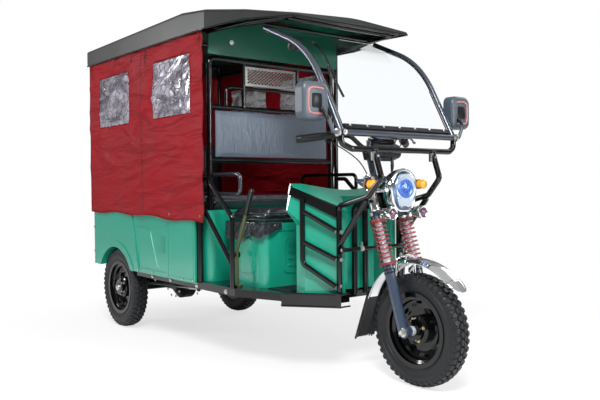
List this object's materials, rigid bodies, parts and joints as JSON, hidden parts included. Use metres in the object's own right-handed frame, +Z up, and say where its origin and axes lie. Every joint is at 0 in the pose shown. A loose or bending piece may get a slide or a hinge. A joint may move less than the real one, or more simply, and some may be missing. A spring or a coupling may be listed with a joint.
{
  "type": "electric auto rickshaw",
  "caption": "Three-wheeled passenger auto rickshaw with green steel body, crimson curtains, curved windshield, rigid roof, telescopic fork and steerable front wheel.",
  "frame": {"origin": "on the ground, under the middle of the vehicle's box", "axes": "+X forward, +Y to the driver's left, +Z up"},
  "size_m": [2.7285, 1.061, 1.8149],
  "materials": {
    "green_paint": "gloss",
    "black_paint": "gloss",
    "black_vinyl": "satin",
    "grey_vinyl": "satin",
    "crimson_cloth": "woven",
    "clear_film": "soft",
    "safety_glass": "clear",
    "roof_skin": "satin",
    "chrome": "polished",
    "red_steel": "gloss",
    "dark_steel": "satin",
    "wire": "bare",
    "amber": "clear",
    "red_lens": "clear",
    "lamp_glass": "clear",
    "tyre": "matt",
    "rubber": "matt",
    "black_plastic": "satin",
    "battery_case": "satin",
    "cast_metal": "cast"
  },
  "bodies": {
    "root": {"armrest_left": "black_paint", "armrest_right": "black_paint", "backrest_rear": "black_vinyl", "battery_pack": "battery_case", "brake_lever": "black_paint", "cabin_frame": "black_paint", "chassis_frame": "black_paint", "curtain_left": "crimson_cloth", "curtain_rear": "crimson_cloth", "curtain_right": "crimson_cloth", "curtain_windows": "clear_film", "cushion_driver": "black_vinyl", "cushion_middle": "black_vinyl", "cushion_rear": "black_vinyl", "dash_trim": "black_paint", "drive_motor": "cast_metal", "floor_pan": "dark_steel", "front_frame": "black_paint", "front_step": "black_paint", "leaf_springs": "dark_steel", "leg_guards": "black_paint", "leg_shield": "green_paint", "mirror_left": "black_plastic", "mirror_right": "black_plastic", "partition_frame": "black_paint", "partition_mesh": "wire", "partition_panel": "grey_vinyl", "rear_axle": "dark_steel", "roof_liner": "green_paint", "roof_panel": "roof_skin", "seat_box_driver": "green_paint", "seat_box_middle": "green_paint", "seat_box_rear": "green_paint", "side_guard_left": "black_paint", "side_guard_right": "black_paint", "side_panel_left": "green_paint", "side_panel_right": "green_paint", "tail_lamps": "red_lens", "tail_panel": "green_paint", "wheel_wells": "dark_steel", "windshield_frame": "black_paint", "windshield_glass": "safety_glass"},
    "steering": {"fork": "dark_steel", "fork_springs": "red_steel", "spring_cups": "dark_steel", "handlebar": "chrome", "grips": "rubber", "headlamp": "chrome", "headlamp_lens": "lamp_glass", "signal_lamps": "amber", "spot_lamps": "chrome", "mudguard": "chrome", "mudguard_flap": "rubber", "instruments": "black_plastic"},
    "front_wheel": {"front_rim": "dark_steel", "front_tyre": "tyre"},
    "rear_wheel_left": {"rear_left_rim": "dark_steel", "rear_left_tyre": "tyre"},
    "rear_wheel_right": {"rear_right_rim": "dark_steel", "rear_right_tyre": "tyre"}
  },
  "joints": [
    {"name": "steering", "type": "hinge", "parent": "root", "child": "steering", "pos_m": [0.857, 0, 0.85], "axis": [-0.309, 0, 0.9511], "range_deg": [-35, 35]},
    {"name": "front_wheel_spin", "type": "hinge", "parent": "steering", "child": "front_wheel", "pos_m": [1.1145, 0, 0.249], "axis": [0, 1, 0], "continuous": true},
    {"name": "rear_left_spin", "type": "hinge", "parent": "root", "child": "rear_wheel_left", "pos_m": [-1.0015, 0.4245, 0.249], "axis": [0, 1, 0], "continuous": true},
    {"name": "rear_right_spin", "type": "hinge", "parent": "root", "child": "rear_wheel_right", "pos_m": [-1.0015, -0.4245, 0.249], "axis": [0, 1, 0], "continuous": true}
  ]
}
